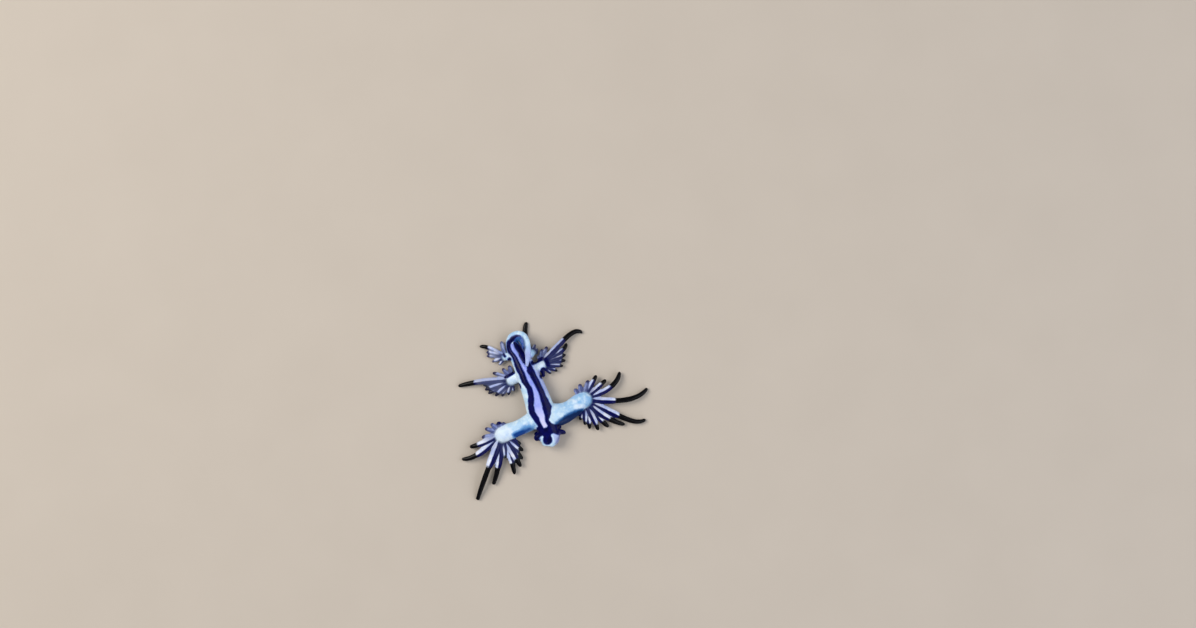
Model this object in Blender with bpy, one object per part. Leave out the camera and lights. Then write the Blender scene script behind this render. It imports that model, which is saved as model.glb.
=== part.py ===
"""Blue dragon sea slug (Glaucus atlanticus), a life-size still model lying on its back with the foot up.

Lengths are millimetres and angles degrees in the tables, and metres in the meshes. The head points to -Y and
the tail to +Y, +Z is up, and the slug rests on small flats at z = 0. Left is -X as it is seen from above.
"""

import math

import bmesh
import bpy
from mathutils import Matrix, Vector

MM = 0.001

# Driving dimensions.
FOOT_SQUARENESS = 2.6  # superellipse power of the body's upper half, where the flat foot is
REST_DEPTH = 0.17  # how much of the round back is cut off to leave the flats it rests on
CUT = 0.30  # width of the thin cuts between the named parts
FLOOR_BLOCK = (60, 60, 4)  # the block that cuts the flats
BODY_SIDES = 16
ARM_SIDES = 12
CERAS_SIDES = 6
BODY_STEPS = 2  # rings between two rows of BODY
ARM_STEPS = 2
CERAS_RING_LENGTH = 1.45  # the longest piece of a ceras between two rings
CERAS_STEPS = 5  # steps along its curl between two rings
CERAS_FLATNESS = 0.82  # height of a ceras over its width
CERAS_SINK = 4.0  # how steeply every ceras falls towards its tip, on the whole

# The body from the snout to the tip of the hooked tail: x, y, z of the middle, half width, half height.
BODY = (
    (-0.98, -10.44, 1.95, 0.45, 0.42),
    (-0.90, -10.26, 1.95, 1.02, 0.86),
    (-0.62, -9.88, 1.95, 1.62, 1.22),
    (-0.22, -9.20, 1.95, 2.16, 1.50),
    (0.14, -8.30, 1.95, 2.18, 1.60),
    (0.28, -7.40, 1.97, 2.05, 1.70),
    (0.22, -6.30, 2.00, 2.30, 1.85),
    (0.05, -4.80, 2.05, 2.70, 2.00),
    (0.00, -3.00, 2.07, 2.80, 2.05),
    (-0.02, -0.60, 2.05, 2.62, 2.00),
    (-0.22, 2.60, 1.97, 2.40, 1.92),
    (-0.48, 5.30, 1.85, 2.20, 1.80),
    (-0.98, 8.00, 1.68, 1.85, 1.52),
    (-1.48, 9.90, 1.62, 1.56, 1.25),
    (-1.55, 11.05, 1.72, 1.40, 1.05),
    (-1.12, 12.05, 2.02, 1.20, 0.92),
    (-0.15, 12.40, 2.45, 1.05, 0.82),
    (0.72, 11.95, 3.00, 1.02, 0.72),
    (1.04, 10.95, 3.55, 1.00, 0.62),
    (1.10, 9.60, 3.92, 0.82, 0.54),
    (0.93, 8.30, 4.08, 0.60, 0.46),
    (0.48, 7.10, 4.08, 0.43, 0.36),
    (0.00, 6.05, 4.02, 0.27, 0.26),
)

# The six arms from inside the body to the end of the palm: x, y, z, half width, half height.
ARMS = {
    "first_left": (
        (-0.4, -4.3, 2.00, 1.90, 1.70),
        (-2.2, -4.7, 1.95, 1.80, 1.60),
        (-4.0, -5.1, 1.80, 1.65, 1.42),
        (-5.7, -5.35, 1.60, 1.60, 1.35),
        (-7.3, -5.45, 1.45, 1.70, 1.35),
        (-8.6, -5.6, 1.38, 1.75, 1.32),
        (-9.7, -5.9, 1.35, 1.35, 1.05),
        (-10.3, -6.05, 1.35, 0.70, 0.60),
    ),
    "first_right": (
        (0.4, -4.0, 2.00, 2.20, 1.70),
        (2.2, -4.90, 1.95, 2.40, 1.62),
        (4.0, -5.12, 1.80, 2.18, 1.46),
        (5.7, -4.85, 1.60, 1.95, 1.38),
        (7.4, -4.15, 1.45, 1.80, 1.36),
        (8.7, -3.70, 1.38, 1.75, 1.32),
        (9.8, -3.60, 1.35, 1.35, 1.05),
        (10.4, -3.50, 1.35, 0.70, 0.60),
    ),
    "second_left": (
        (-0.6, 4.5, 1.80, 1.20, 1.20),
        (-2.2, 4.45, 1.50, 1.10, 1.10),
        (-3.2, 4.45, 1.25, 1.15, 1.08),
        (-4.1, 4.35, 1.17, 1.08, 1.05),
        (-4.75, 4.3, 1.17, 0.62, 0.70),
    ),
    "second_right": (
        (-0.2, 4.9, 1.80, 1.20, 1.20),
        (1.0, 5.1, 1.50, 1.05, 1.10),
        (2.0, 5.3, 1.25, 1.05, 1.08),
        (2.9, 5.5, 1.17, 1.00, 1.05),
        (3.5, 5.65, 1.17, 0.60, 0.70),
    ),
    "third_left": (
        (-1.2, 8.4, 1.40, 0.90, 0.90),
        (-2.5, 8.7, 1.10, 0.78, 0.88),
        (-3.4, 9.0, 0.97, 0.78, 0.84),
        (-4.0, 9.2, 0.97, 0.45, 0.50),
    ),
    "third_right": (
        (-0.6, 7.7, 1.40, 0.90, 0.90),
        (0.6, 7.9, 1.05, 0.76, 0.84),
        (1.4, 8.15, 0.93, 0.74, 0.80),
        (2.0, 8.45, 0.93, 0.40, 0.45),
    ),
}

# Each arm's palm, from which its cerata spread in one row: middle, and how far out they are rooted. Then a row
# for each ceras: bearing of its root, heading, length, curl, how late it curls, lift, greatest half width, and
# its waist as a share of the length.
PALMS = {
    "first_left": ((-8.80, -5.65, 1.40), 1.0),
    "first_right": ((8.90, -3.75, 1.40), 1.0),
    "second_left": ((-3.90, 4.25, 1.20), 0.5),
    "second_right": ((2.75, 5.50, 1.20), 0.5),
    "third_left": ((-3.55, 9.05, 1.00), 0.35),
    "third_right": ((1.55, 8.20, 0.95), 0.25),
}
CERATA = {
    "first_left": (
        (64, 70, 1.6, 0, 2, 12, 0.44, 0.80),
        (90, 92, 1.8, 0, 2, 12, 0.56, 0.62),
        (118, 118, 2.3, 6, 2, 18, 0.46, 0.80),
        (142, 142, 2.8, 10, 2, 14, 0.46, 0.80),
        (165, 171, 3.3, 10, 2, 8, 0.50, 0.76),
        (182, 188.5, 6.2, -12, 2, 16, 0.64, 0.70),
        (200, 204.5, 8.9, -45, 3, 8, 0.74, 0.62),
        (222, 231.6, 13.4, 3.6, 2.4, 14, 0.84, 0.44),
        (240, 247, 9.4, -17, 2.7, 5, 0.80, 0.60),
        (262, 262, 3.9, -6, 2, 16, 0.52, 0.78),
        (268, 274.5, 7.5, -14, 2, 3, 0.62, 0.67),
        (284, 283, 6.6, -2, 2, 12, 0.55, 0.70),
        (298, 292, 5.5, -4, 2, 2, 0.50, 0.70),
        (312, 303, 4.4, 0, 2, 11, 0.46, 0.72),
        (326, 312, 3.3, 0, 2, 3, 0.42, 0.72),
    ),
    "first_right": (
        (118, 115, 2.0, -8, 2, 14, 0.48, 0.80),
        (92, 90, 2.4, -8, 2, 20, 0.48, 0.80),
        (66, 62, 3.1, -8, 2, 16, 0.48, 0.78),
        (48, 47, 4.6, -4, 2, 12, 0.50, 0.74),
        (26, 25, 5.1, 0, 2, 18, 0.52, 0.72),
        (6, 4.6, 8.7, 68, 2.5, 11, 0.62, 0.58),
        (-14, -20.5, 12.6, 60, 3, 12, 0.72, 0.42),
        (-34, -43, 12.5, 70, 6.9, 7, 0.74, 0.53),
        (-52, -60, 8.9, 32, 1.6, 14, 0.60, 0.60),
        (-66, -70, 6.5, 16, 2, 3, 0.56, 0.72),
        (-80, -80, 5.9, -8, 2, 12, 0.52, 0.76),
        (-92, -94, 5.1, -10, 2, 1, 0.48, 0.76),
        (-106, -101, 4.2, -14, 2, 10, 0.44, 0.78),
        (-120, -113, 3.3, -16, 2, 2, 0.42, 0.78),
        (-132, -121, 2.5, -12, 2, 9, 0.40, 0.78),
    ),
    "second_left": (
        (62, 84, 2.6, 6, 2, 8, 0.48, 0.85),
        (95, 112, 2.6, 8, 2, 12, 0.42, 0.80),
        (122, 142, 3.7, 8, 2, 6, 0.42, 0.78),
        (150, 163, 10.5, 15, 1, 10, 0.64, 0.67),
        (168, 173, 5.4, 2, 2, 4, 0.48, 0.80),
        (186, 184, 5.3, -4, 2, 12, 0.46, 0.78),
        (204, 192, 5.0, 0, 2, 3, 0.44, 0.76),
        (220, 206, 4.2, 0, 2, 12, 0.42, 0.76),
        (236, 220, 3.4, 0, 2, 3, 0.38, 0.76),
        (256, 238, 2.7, 0, 2, 12, 0.36, 0.76),
        (276, 262, 1.9, 0, 2, 9, 0.34, 0.76),
    ),
    "second_right": (
        (100, 88, 1.5, -6, 2, 12, 0.38, 0.85),
        (86, 70, 2.7, -6, 2, 14, 0.38, 0.82),
        (74, 54, 3.4, -4, 2, 6, 0.42, 0.80),
        (58, 28.6, 10.8, -114, 8.4, 11, 0.62, 0.59),
        (38, 13.5, 6.4, 70, 6, 8, 0.50, 0.78),
        (16, 4, 4.9, 0, 2, 13, 0.46, 0.80),
        (-6, -7, 4.5, 0, 2, 3, 0.44, 0.80),
        (-26, -20, 4.0, 0, 2, 12, 0.40, 0.80),
        (-46, -38, 3.1, 0, 2, 3, 0.38, 0.80),
        (-64, -60, 2.3, 0, 2, 10, 0.36, 0.80),
        (-84, -101, 2.2, 0, 2, 8, 0.42, 0.70),
    ),
    "third_left": (
        (95, 95, 3.0, -18, 2, 6, 0.46, 0.85),
        (118, 137, 5.6, 48, 5, 8, 0.46, 0.68),
        (140, 148, 3.9, 10, 2, 14, 0.38, 0.80),
        (162, 160, 3.7, 4, 2, 2, 0.36, 0.80),
        (195, 180, 2.8, 4, 2, 10, 0.34, 0.80),
        (230, 208, 2.0, 4, 2, 2, 0.32, 0.80),
    ),
    "third_right": (
        (90, 101, 6.4, -50, 1.6, -4, 0.56, 0.62),
        (50, 52, 1.8, 6, 2, 2, 0.34, 0.80),
        (20, 20, 1.4, 6, 2, 0, 0.34, 0.80),
        (-15, -6, 1.1, 0, 2, 2, 0.32, 0.80),
    ),
}

# Half width along a ceras over its greatest: from the root to the waist, where it narrows, and along the dark
# tip, which is much the same width on every long ceras.
CERAS_PROFILE = ((0, 0.72), (0.2, 0.86), (0.55, 1), (0.88, 0.96), (1, 0.82), (1.16, 0.5))
TIP_PROFILE = ((0, 0), (0.4, 1.05), (0.6, 1.12), (0.75, 1.05), (0.88, 0.94), (0.96, 0.74), (1, 0.5))
TIP_HALF_WIDTH = 0.50
TIP_SHARE = 0.9  # the tip's half width over the greatest one, on a thin ceras

# The four feelers of the head: root, tip, half width at the root.
FEELERS = {
    "oral_tentacle_left": ((-0.60, -7.60, 2.10), (-2.92, -8.52, 1.95), 0.92),
    "oral_tentacle_right": ((1.00, -7.60, 2.10), (3.52, -9.00, 1.95), 0.66),
    "rhinophore_left": ((-0.60, -7.60, 1.20), (-2.76, -7.52, 0.68), 0.60),
    "rhinophore_right": ((1.00, -7.60, 1.20), (3.00, -7.55, 0.76), 0.58),
}
FEELER_PROFILE = ((0, 1), (0.5, 0.92), (0.8, 0.74), (0.94, 0.52), (1, 0.3))
FEELER_STEPS = 6
FEELER_PLATE = 2.2  # side of the square plate that cuts a feeler

# The thin cuts: x, y of the middle, bearing of the cut's own line, half length, lowest and highest z.
CUTS = (
    (0.20, -7.02, 2, 3.0, -1, 5),
    (-0.10, 1.00, 0, 3.3, -1, 5),
    (-0.65, 6.70, 4, 2.6, -1, 3.68),
    (-1.55, 10.45, 0, 1.72, -1, 2.88),
    (1.05, 10.45, 0, 1.25, 2.88, 5.2),
    (-3.15, -4.95, 86, 2.4, -1, 5),
    (3.25, -5.00, 92, 2.95, -1, 5),
    (-6.75, -5.45, 88, 2.1, -1, 5),
    (6.45, -4.50, 92, 2.25, -1, 5),
    (-2.98, 4.45, 90, 1.6, -1, 5),
    (2.05, 5.30, 90, 1.5, -1, 3.3),
    (-3.02, 8.90, 90, 1.2, -1, 4),
    (1.10, 8.05, 105, 1.15, -1, 2.6),
)
THROUGH = (-1, 5)  # lowest and highest z of a cut right through the body
# Cuts that part a palm into its rear, long and front cerata: from the palm's middle, a bearing and a length.
PALM_CUTS = {
    "first_left": ((2, 2.4), (218, 4.6), (256, 4.4)),
    "first_right": ((176, 2.8), (-7, 4.6), (-29, 5.2)),
}
# Where each feeler is parted from the head, as a share of its length.
FEELER_CUTS = {
    "oral_tentacle_left": 0.74,
    "oral_tentacle_right": 0.70,
    "rhinophore_left": 0.70,
    "rhinophore_right": 0.70,
}

# A point inside each named part, which tells the loose pieces apart.
NAMES = {
    "head": (-0.2, -8.8, 2.0),
    "oral_tentacle_left": (-2.80, -8.46, 1.95),
    "oral_tentacle_right": (3.35, -8.90, 1.95),
    "rhinophore_left": (-2.6, -7.53, 0.72),
    "rhinophore_right": (2.88, -7.55, 0.79),
    "trunk_front": (0.0, -3.0, 2.0),
    "trunk_rear": (-0.3, 3.5, 2.0),
    "tail_base": (-1.2, 9.0, 1.7),
    "tail_hook": (-0.15, 12.45, 2.45),
    "tail_tip": (0.7, 8.3, 4.08),
    "first_arm_left": (-5.0, -5.3, 1.6),
    "first_arm_right": (5.0, -4.9, 1.6),
    "first_cerata_left_rear": (-11.0, -5.6, 1.5),
    "first_cerata_left_long": (-13.0, -11.5, 1.6),
    "first_cerata_left_front": (-8.4, -9.5, 1.2),
    "first_cerata_right_rear": (12.0, -2.5, 1.6),
    "first_cerata_right_long": (14.0, -5.6, 1.8),
    "first_cerata_right_front": (12.5, -7.5, 1.3),
    "second_cerata_left": (-7.0, 4.9, 1.4),
    "second_cerata_right": (6.0, 7.1, 1.4),
    "third_cerata_left": (-5.0, 11.0, 1.1),
    "third_cerata_right": (1.2, 10.5, 0.7),
}

SILVER_BLUE = (0.62, 0.76, 0.92)
NAVY = (0.02, 0.03, 0.16)
PALE = (0.80, 0.88, 0.96)


def value_at(profile, t):
    """The profile's value at t, on straight lines between its points."""
    for (t0, v0), (t1, v1) in zip(profile, profile[1:]):
        if t <= t1:
            return v0 + (v1 - v0) * (t - t0) / (t1 - t0)
    return profile[-1][1]


def catmull_rom(a, b, c, d, t):
    """The smooth curve's value at t on its way from b to c, with a and d beyond them."""
    bend = (2 * a - 5 * b + 4 * c - d) * t**2 + (3 * b - a - 3 * c + d) * t**3
    return 0.5 * (2 * b + (c - a) * t + bend)


def smooth_rows(rows, steps):
    """Rows on a smooth curve through these rows, with the sizes carried along."""
    result = []
    last = len(rows) - 1
    for i in range(last):
        near = (rows[max(i - 1, 0)], rows[i], rows[i + 1], rows[min(i + 2, last)])
        for k in range(steps):
            t = k / steps
            result.append(tuple(catmull_rom(*values, t) for values in zip(*near)))
    result.append(rows[-1])
    return result


def signed_power(value, power):
    return math.copysign(abs(value) ** power, value)


def tube(name, rows, sides, squareness=2.0):
    """A closed tube through rows of x, y, z, half width, half height, its upper half as square as asked."""
    bm = bmesh.new()
    rings = []
    for i, (x, y, z, half_width, half_height) in enumerate(rows):
        before, after = Vector(rows[max(i - 1, 0)][:3]), Vector(rows[min(i + 1, len(rows) - 1)][:3])
        along = (after - before).normalized()
        side = along.cross(Vector((0, 0, 1))).normalized()
        up = side.cross(along)
        ring = bmesh.ops.create_circle(bm, segments=sides, radius=1)["verts"]
        for v in ring:
            angle = math.atan2(v.co.y, v.co.x)
            power = 2 / squareness if v.co.y > 0 else 1
            across = signed_power(math.cos(angle), power) * half_width
            height = signed_power(math.sin(angle), power) * half_height
            v.co = (Vector((x, y, z)) + side * across + up * height) * MM
        rings.append([e for e in bm.edges if all(v in ring for v in e.verts)])
    for first, second in zip(rings, rings[1:]):
        bmesh.ops.bridge_loops(bm, edges=first + second)
    bmesh.ops.holes_fill(bm, edges=rings[0] + rings[-1], sides=sides)
    bmesh.ops.recalc_face_normals(bm, faces=bm.faces)
    return mesh_object(name, bm)


def mesh_object(name, bm):
    mesh = bpy.data.meshes.new(name)
    bm.to_mesh(mesh)
    bm.free()
    obj = bpy.data.objects.new(name, mesh)
    bpy.context.scene.collection.objects.link(obj)
    return obj


def ceras_rows(palm, row):
    """The middle line and sizes of one ceras, which curls sideways and arches up and down on its way."""
    (palm_x, palm_y, palm_z), reach = palm
    bearing, heading, length, curl, lateness, lift, half_width, waist = row
    x = palm_x + reach * math.cos(math.radians(bearing))
    y = palm_y + reach * math.sin(math.radians(bearing))
    z = palm_z
    count = max(4, math.ceil(length / CERAS_RING_LENGTH)) * CERAS_STEPS
    step = length / count
    rows = []
    for i in range(count + 1):
        if i % CERAS_STEPS == 0:
            tip = min(TIP_HALF_WIDTH, TIP_SHARE * half_width) * value_at(TIP_PROFILE, i / count)
            half = tip if i == count else max(half_width * value_at(CERAS_PROFILE, i / count / waist), tip)
            rows.append((x, y, z, half, half * CERAS_FLATNESS))
        middle = (i + 0.5) / count
        turn = math.radians(heading + curl * middle**lateness)
        rise = math.radians(lift * (1 - 2 * middle) - CERAS_SINK)
        x += step * math.cos(turn) * math.cos(rise)
        y += step * math.sin(turn) * math.cos(rise)
        z += step * math.sin(rise)
    return rows


def feeler_rows(root, tip, half_width):
    root, tip = Vector(root), Vector(tip)
    rows = []
    for i in range(FEELER_STEPS + 1):
        t = i / FEELER_STEPS
        half = half_width * value_at(FEELER_PROFILE, t)
        rows.append((*root.lerp(tip, t), half, half))
    return rows


def slab(x, y, bearing, half_length, low, high):
    """A thin upright box that cuts along its bearing."""
    bm = bmesh.new()
    bmesh.ops.create_cube(bm, size=1)
    size = Vector((2 * half_length, CUT, high - low)) * MM
    place = Matrix.Translation(Vector((x, y, (low + high) / 2)) * MM)
    turn = Matrix.Rotation(math.radians(bearing), 4, "Z")
    bmesh.ops.transform(bm, matrix=place @ turn @ Matrix.Diagonal((*size, 1)), verts=bm.verts)
    return mesh_object("cutter", bm)


def feeler_slab(root, tip, share):
    """A thin square plate across a feeler."""
    root, tip = Vector(root), Vector(tip)
    place = Matrix.Translation(root.lerp(tip, share) * MM)
    turn = (tip - root).to_track_quat("Z", "Y").to_matrix().to_4x4()
    bm = bmesh.new()
    bmesh.ops.create_cube(bm, size=1)
    size = Vector((FEELER_PLATE, FEELER_PLATE, CUT)) * MM
    bmesh.ops.transform(bm, matrix=place @ turn @ Matrix.Diagonal((*size, 1)), verts=bm.verts)
    return mesh_object("cutter", bm)


def palm_slab(palm, bearing, length):
    (x, y, _), _ = palm
    ahead = Vector((math.cos(math.radians(bearing)), math.sin(math.radians(bearing))))
    middle = Vector((x, y)) + ahead * (length / 2 - CUT / 2)
    return slab(*middle, bearing, length / 2 + CUT / 2, *THROUGH)


def combined(obj, others, operation):
    """The mesh of obj after one Boolean with all the others, which are used up."""
    group = bpy.data.collections.new("operands")
    bpy.context.scene.collection.children.link(group)
    for other in others:
        bpy.context.scene.collection.objects.unlink(other)
        group.objects.link(other)
    boolean = obj.modifiers.new("combine", "BOOLEAN")
    boolean.operation = operation
    boolean.operand_type = "COLLECTION"
    boolean.collection = group
    boolean.solver = "EXACT"
    bpy.context.view_layer.update()
    mesh = bpy.data.meshes.new_from_object(obj.evaluated_get(bpy.context.evaluated_depsgraph_get()))
    obj.modifiers.clear()
    obj.data = mesh
    for other in others:
        bpy.data.objects.remove(other)
    bpy.data.collections.remove(group)
    return obj


def whole_slug():
    """Body, arms, cerata and feelers as one closed skin."""
    body = tube("slug", smooth_rows(BODY, BODY_STEPS), BODY_SIDES, FOOT_SQUARENESS)
    limbs = [tube(name, smooth_rows(rows, ARM_STEPS), ARM_SIDES) for name, rows in ARMS.items()]
    for arm, rows in CERATA.items():
        limbs += [tube("ceras", ceras_rows(PALMS[arm], row), CERAS_SIDES) for row in rows]
    limbs += [tube(name, feeler_rows(*feeler), CERAS_SIDES) for name, feeler in FEELERS.items()]
    return combined(body, limbs, "UNION")


def floor_block():
    """What lies below the level that the slug rests on."""
    bm = bmesh.new()
    bmesh.ops.create_cube(bm, size=1)
    size = Vector(FLOOR_BLOCK) * MM
    place = Matrix.Translation(Vector((0, 0, REST_DEPTH - FLOOR_BLOCK[2] / 2)) * MM)
    bmesh.ops.transform(bm, matrix=place @ Matrix.Diagonal((*size, 1)), verts=bm.verts)
    return mesh_object("cutter", bm)


def parted(slug):
    """The slug cut flat underneath and parted by the thin cuts."""
    cutters = [floor_block()]
    cutters += [slab(*cut) for cut in CUTS]
    for arm, cuts in PALM_CUTS.items():
        cutters += [palm_slab(PALMS[arm], *cut) for cut in cuts]
    cutters += [feeler_slab(*FEELERS[name][:2], share) for name, share in FEELER_CUTS.items()]
    return combined(slug, cutters, "DIFFERENCE")


def loose_pieces(obj):
    """The vertices of each loose piece of the mesh, and its faces."""
    bm = bmesh.new()
    bm.from_mesh(obj.data)
    left = set(bm.verts)
    pieces = []
    while left:
        piece, edge = set(), [left.pop()]
        while edge:
            v = edge.pop()
            piece.add(v)
            fresh = {e.other_vert(v) for e in v.link_edges} & left
            left -= fresh
            edge += fresh
        pieces.append(piece)
    return bm, pieces


def material(name, colour, roughness):
    made = bpy.data.materials.new(name)
    made.use_nodes = True
    shader = made.node_tree.nodes["Principled BSDF"]
    shader.inputs["Base Color"].default_value = (*colour, 1)
    shader.inputs["Roughness"].default_value = roughness
    shader.inputs["Metallic"].default_value = 0
    return made


def named_parts(slug):
    """One object for each loose piece, named by the nearest point of NAMES and stood on z = 0."""
    bm, pieces = loose_pieces(slug)
    finishes = {
        "head": material("silver_blue_skin", SILVER_BLUE, 0.35),
        "feeler": material("navy_skin", NAVY, 0.3),
        "cerata": material("pale_skin", PALE, 0.35),
    }
    lowered = Vector((0, 0, REST_DEPTH * MM))
    for name, point in NAMES.items():
        seed = Vector(point) * MM
        nearest = min(pieces, key=lambda piece: min((v.co - seed).length_squared for v in piece))
        pieces.remove(nearest)
        part = bmesh.new()
        made = {}
        for v in sorted(nearest, key=lambda v: v.index):
            made[v] = part.verts.new(v.co - lowered)
        for face in sorted({f for v in nearest for f in v.link_faces}, key=lambda f: f.index):
            part.faces.new([made[v] for v in face.verts])
        obj = mesh_object(name, part)
        kind = "feeler" if name in FEELERS else "cerata" if "cerata" in name else "head"
        obj.data.materials.append(finishes[kind])
        obj.data.shade_smooth()
    if pieces:
        sizes = [[round(c / MM, 2) for c in next(iter(piece)).co] for piece in pieces]
        raise ValueError(f"{len(pieces)} loose pieces have no name, near {sizes}")
    bm.free()
    bpy.data.objects.remove(slug)


for old in list(bpy.data.objects):
    bpy.data.objects.remove(old)
named_parts(parted(whole_slug()))
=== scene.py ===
"""Looks of the blue dragon sea slug: one wet skin with its markings, lying on a plain floor."""

import math

import bmesh
import bpy
import numpy as np
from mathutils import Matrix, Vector


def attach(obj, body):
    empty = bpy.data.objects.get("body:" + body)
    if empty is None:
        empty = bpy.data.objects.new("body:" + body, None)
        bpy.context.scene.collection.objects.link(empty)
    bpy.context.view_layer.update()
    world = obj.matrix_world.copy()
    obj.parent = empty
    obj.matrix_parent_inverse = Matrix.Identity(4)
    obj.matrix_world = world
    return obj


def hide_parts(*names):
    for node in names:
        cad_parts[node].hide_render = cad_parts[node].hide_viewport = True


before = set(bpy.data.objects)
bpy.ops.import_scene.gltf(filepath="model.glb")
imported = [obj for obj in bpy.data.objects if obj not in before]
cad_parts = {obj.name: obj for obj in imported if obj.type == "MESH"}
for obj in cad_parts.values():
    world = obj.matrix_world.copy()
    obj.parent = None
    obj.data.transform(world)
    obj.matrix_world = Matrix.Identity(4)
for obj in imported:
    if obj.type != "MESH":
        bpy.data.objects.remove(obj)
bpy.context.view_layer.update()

MM = 0.001
PER_METRE = 1000  # millimetres in a metre, for the scale of a pattern

# Sizes shared with the solids, in millimetres and degrees. The head points to -Y and the foot is up.
FOOT_SQUARENESS = 2.6  # 2 is an ellipse, and more makes the upper half squarer
REST_DEPTH = 0.17  # how much of the back the floor cuts off
CERAS_FLATNESS = 0.82  # height of a ceras over its width
CERAS_SINK = 4.0  # degrees by which every ceras points down

# The body from the snout to the tip of the hooked tail: x, y, z of the middle, half width, half height.
BODY = (
    (-0.98, -10.44, 1.95, 0.45, 0.42),
    (-0.90, -10.26, 1.95, 1.02, 0.86),
    (-0.62, -9.88, 1.95, 1.62, 1.22),
    (-0.22, -9.20, 1.95, 2.16, 1.50),
    (0.14, -8.30, 1.95, 2.18, 1.60),
    (0.28, -7.40, 1.97, 2.05, 1.70),
    (0.22, -6.30, 2.00, 2.30, 1.85),
    (0.05, -4.80, 2.05, 2.70, 2.00),
    (0.00, -3.00, 2.07, 2.80, 2.05),
    (-0.02, -0.60, 2.05, 2.62, 2.00),
    (-0.22, 2.60, 1.97, 2.40, 1.92),
    (-0.48, 5.30, 1.85, 2.20, 1.80),
    (-0.98, 8.00, 1.68, 1.85, 1.52),
    (-1.48, 9.90, 1.62, 1.56, 1.25),
    (-1.55, 11.05, 1.72, 1.40, 1.05),
    (-1.12, 12.05, 2.02, 1.20, 0.92),
    (-0.15, 12.40, 2.45, 1.05, 0.82),
    (0.72, 11.95, 3.00, 1.02, 0.72),
    (1.04, 10.95, 3.55, 1.00, 0.62),
    (1.10, 9.60, 3.92, 0.82, 0.54),
    (0.93, 8.30, 4.08, 0.60, 0.46),
    (0.48, 7.10, 4.08, 0.43, 0.36),
    (0.00, 6.05, 4.02, 0.27, 0.26),
)

# The six arms from inside the body to the end of the palm.
ARMS = {
    "first_left": (
        (-0.4, -4.3, 2.00, 1.90, 1.70),
        (-2.2, -4.7, 1.95, 1.80, 1.60),
        (-4.0, -5.1, 1.80, 1.65, 1.42),
        (-5.7, -5.35, 1.60, 1.60, 1.35),
        (-7.3, -5.45, 1.45, 1.70, 1.35),
        (-8.6, -5.6, 1.38, 1.75, 1.32),
        (-9.7, -5.9, 1.35, 1.35, 1.05),
        (-10.3, -6.05, 1.35, 0.70, 0.60),
    ),
    "first_right": (
        (0.4, -4.0, 2.00, 2.20, 1.70),
        (2.2, -4.90, 1.95, 2.40, 1.62),
        (4.0, -5.12, 1.80, 2.18, 1.46),
        (5.7, -4.85, 1.60, 1.95, 1.38),
        (7.4, -4.15, 1.45, 1.80, 1.36),
        (8.7, -3.70, 1.38, 1.75, 1.32),
        (9.8, -3.60, 1.35, 1.35, 1.05),
        (10.4, -3.50, 1.35, 0.70, 0.60),
    ),
    "second_left": (
        (-0.6, 4.5, 1.80, 1.20, 1.20),
        (-2.2, 4.45, 1.50, 1.10, 1.10),
        (-3.2, 4.45, 1.25, 1.15, 1.08),
        (-4.1, 4.35, 1.17, 1.08, 1.05),
        (-4.75, 4.3, 1.17, 0.62, 0.70),
    ),
    "second_right": (
        (-0.2, 4.9, 1.80, 1.20, 1.20),
        (1.0, 5.1, 1.50, 1.05, 1.10),
        (2.0, 5.3, 1.25, 1.05, 1.08),
        (2.9, 5.5, 1.17, 1.00, 1.05),
        (3.5, 5.65, 1.17, 0.60, 0.70),
    ),
    "third_left": (
        (-1.2, 8.4, 1.40, 0.90, 0.90),
        (-2.5, 8.7, 1.10, 0.78, 0.88),
        (-3.4, 9.0, 0.97, 0.78, 0.84),
        (-4.0, 9.2, 0.97, 0.45, 0.50),
    ),
    "third_right": (
        (-0.6, 7.7, 1.40, 0.90, 0.90),
        (0.6, 7.9, 1.05, 0.76, 0.84),
        (1.4, 8.15, 0.93, 0.74, 0.80),
        (2.0, 8.45, 0.93, 0.40, 0.45),
    ),
}

# Each arm's palm: its middle, and how far out the cerata are rooted.
PALMS = {
    "first_left": ((-8.80, -5.65, 1.40), 1.0),
    "first_right": ((8.90, -3.75, 1.40), 1.0),
    "second_left": ((-3.90, 4.25, 1.20), 0.5),
    "second_right": ((2.75, 5.50, 1.20), 0.5),
    "third_left": ((-3.55, 9.05, 1.00), 0.35),
    "third_right": ((1.55, 8.20, 0.95), 0.25),
}
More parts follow.
